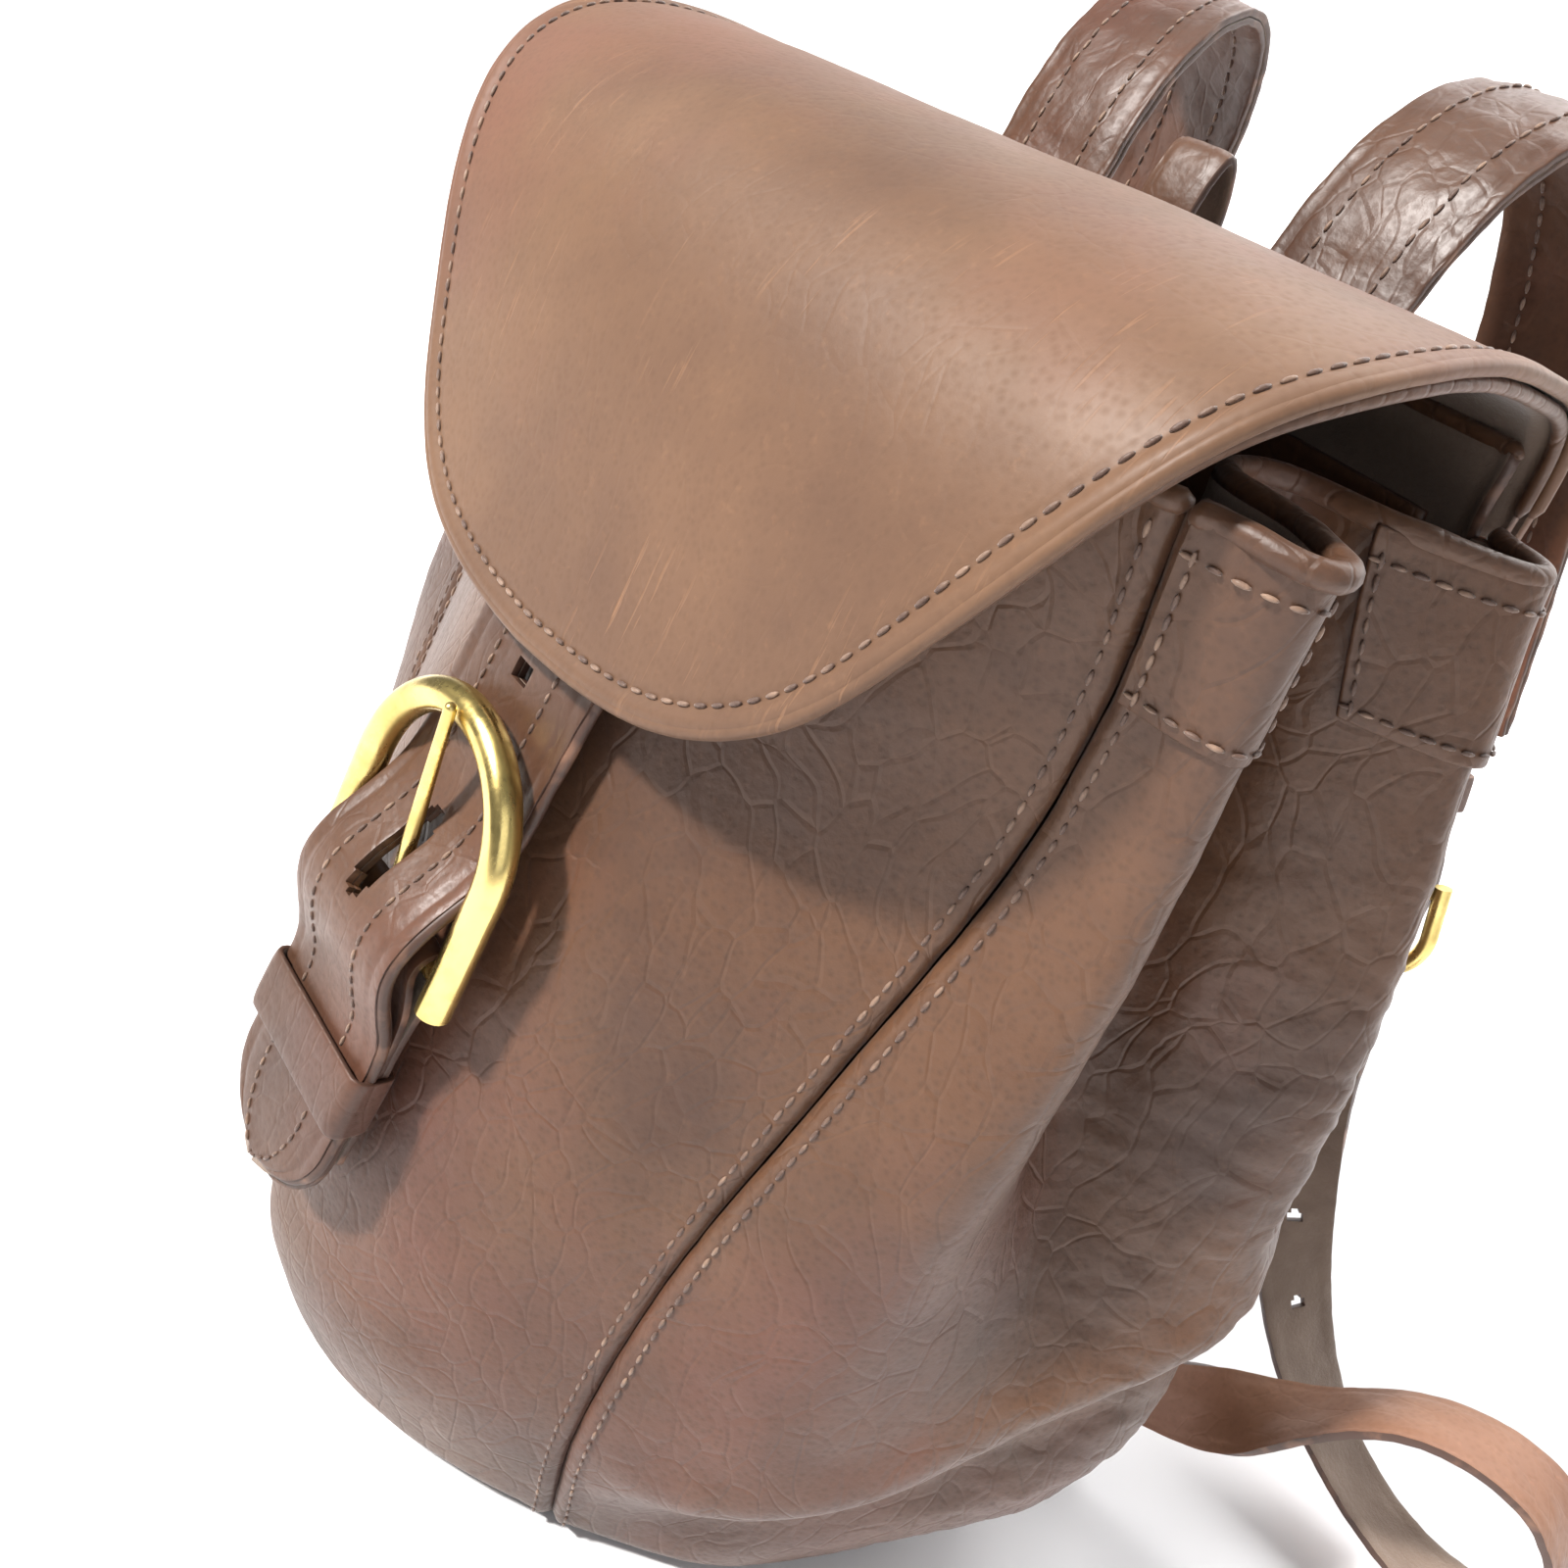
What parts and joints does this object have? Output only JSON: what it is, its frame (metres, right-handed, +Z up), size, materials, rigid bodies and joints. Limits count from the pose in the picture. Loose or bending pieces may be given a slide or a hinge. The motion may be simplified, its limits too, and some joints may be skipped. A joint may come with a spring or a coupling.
{
  "type": "leather backpack",
  "caption": "Flap-top leather backpack with a buckled closure strap, pleated gussets, adjustable shoulder straps and a hanging loop.",
  "frame": {"origin": "middle of the underside of the base", "axes": "+Z up, -Y towards the front with the buckle, +X towards the bag's left side as worn"},
  "size_m": [0.4276, 0.249, 0.3275],
  "materials": {
    "body_leather": "satin, pebbled",
    "flap_leather": "satin, smooth and scratched",
    "strap_leather": "satin",
    "suede": "matte suede",
    "brass": "polished, worn"
  },
  "bodies": {
    "bag": {"front_panel": "body_leather", "back_panel": "body_leather", "base_panel": "body_leather", "gusset_left": "body_leather", "gusset_right": "body_leather", "hem_band_left": "body_leather", "hem_band_right": "body_leather", "rear_hem_left": "body_leather", "rear_hem_right": "body_leather", "front_facing": "suede", "back_facing": "suede", "back_yoke": "body_leather", "hanging_loop": "strap_leather", "strap_base_left": "strap_leather", "strap_base_right": "strap_leather", "strap_tab_left": "strap_leather", "strap_tab_right": "strap_leather", "closure_chape": "strap_leather"},
    "flap": {"flap_outer": "flap_leather", "flap_lining": "suede", "closure_strap_outer": "strap_leather", "closure_strap_lining": "suede"},
    "buckle": {"buckle_frame": "brass", "buckle_bar": "brass"},
    "prong": {"buckle_prong": "brass"},
    "keeper": {"closure_keeper": "strap_leather"},
    "shoulder_right": {"shoulder_strap_outer_right": "strap_leather", "shoulder_strap_lining_right": "suede", "adjuster_chape_right": "strap_leather", "lower_strap_right": "strap_leather"},
    "adjuster_right": {"adjuster_frame_right": "brass", "adjuster_bar_right": "brass"},
    "adjuster_pin_right": {"adjuster_prong_right": "brass"},
    "adjuster_loop_right": {"adjuster_keeper_right": "strap_leather"},
    "shoulder_left": {"shoulder_strap_outer_left": "strap_leather", "shoulder_strap_lining_left": "suede", "adjuster_chape_left": "strap_leather", "lower_strap_left": "strap_leather"},
    "adjuster_left": {"adjuster_frame_left": "brass", "adjuster_bar_left": "brass"},
    "adjuster_pin_left": {"adjuster_prong_left": "brass"},
    "adjuster_loop_left": {"adjuster_keeper_left": "strap_leather"}
  },
  "joints": [
    {"name": "flap_hinge", "type": "hinge", "parent": "bag", "child": "flap", "pos_m": [0, 0.0305, 0.28], "axis": [-1, 0, 0], "range_deg": [0, 95]},
    {"name": "buckle_lift", "type": "hinge", "parent": "bag", "child": "buckle", "pos_m": [0, -0.09839, 0.13349], "axis": [1, 0, 0], "range_deg": [0, 8]},
    {"name": "prong_lift", "type": "hinge", "parent": "buckle", "child": "prong", "pos_m": [0, -0.09839, 0.13349], "axis": [1, 0, 0], "range_deg": [0, 20]},
    {"name": "keeper_slide", "type": "slide", "parent": "bag", "child": "keeper", "axis": [0, 0.2756, 0.9613], "range_m": [-0.004, 0.004]},
    {"name": "strap_swing_right", "type": "hinge", "parent": "bag", "child": "shoulder_right", "pos_m": [0.038, 0.047, 0.258], "axis": [0.3364, 0.0903, -0.9374], "range_deg": [-15, 18]},
    {"name": "adjuster_lift_right", "type": "hinge", "parent": "shoulder_right", "child": "adjuster_right", "pos_m": [0.08859, 0.11945, 0.16514], "axis": [0.9654, 0, 0.2609], "range_deg": [0, 12]},
    {"name": "adjuster_prong_lift_right", "type": "hinge", "parent": "adjuster_right", "child": "adjuster_pin_right", "pos_m": [0.08859, 0.11945, 0.16514], "axis": [0.9654, 0, 0.2609], "range_deg": [0, 18]},
    {"name": "adjuster_keeper_slide_right", "type": "slide", "parent": "shoulder_right", "child": "adjuster_loop_right", "axis": [0.2609, 0, -0.9654], "range_m": [-0.003, 0.003]},
    {"name": "strap_swing_left", "type": "hinge", "parent": "bag", "child": "shoulder_left", "pos_m": [-0.038, 0.047, 0.258], "axis": [0.3364, -0.0903, 0.9374], "range_deg": [-15, 18]},
    {"name": "adjuster_lift_left", "type": "hinge", "parent": "shoulder_left", "child": "adjuster_left", "pos_m": [-0.08859, 0.11945, 0.16514], "axis": [0.9654, 0, -0.2609], "range_deg": [0, 12]},
    {"name": "adjuster_prong_lift_left", "type": "hinge", "parent": "adjuster_left", "child": "adjuster_pin_left", "pos_m": [-0.08859, 0.11945, 0.16514], "axis": [0.9654, 0, -0.2609], "range_deg": [0, 18]},
    {"name": "adjuster_keeper_slide_left", "type": "slide", "parent": "shoulder_left", "child": "adjuster_loop_left", "axis": [-0.2609, 0, -0.9654], "range_m": [-0.003, 0.003]}
  ]
}
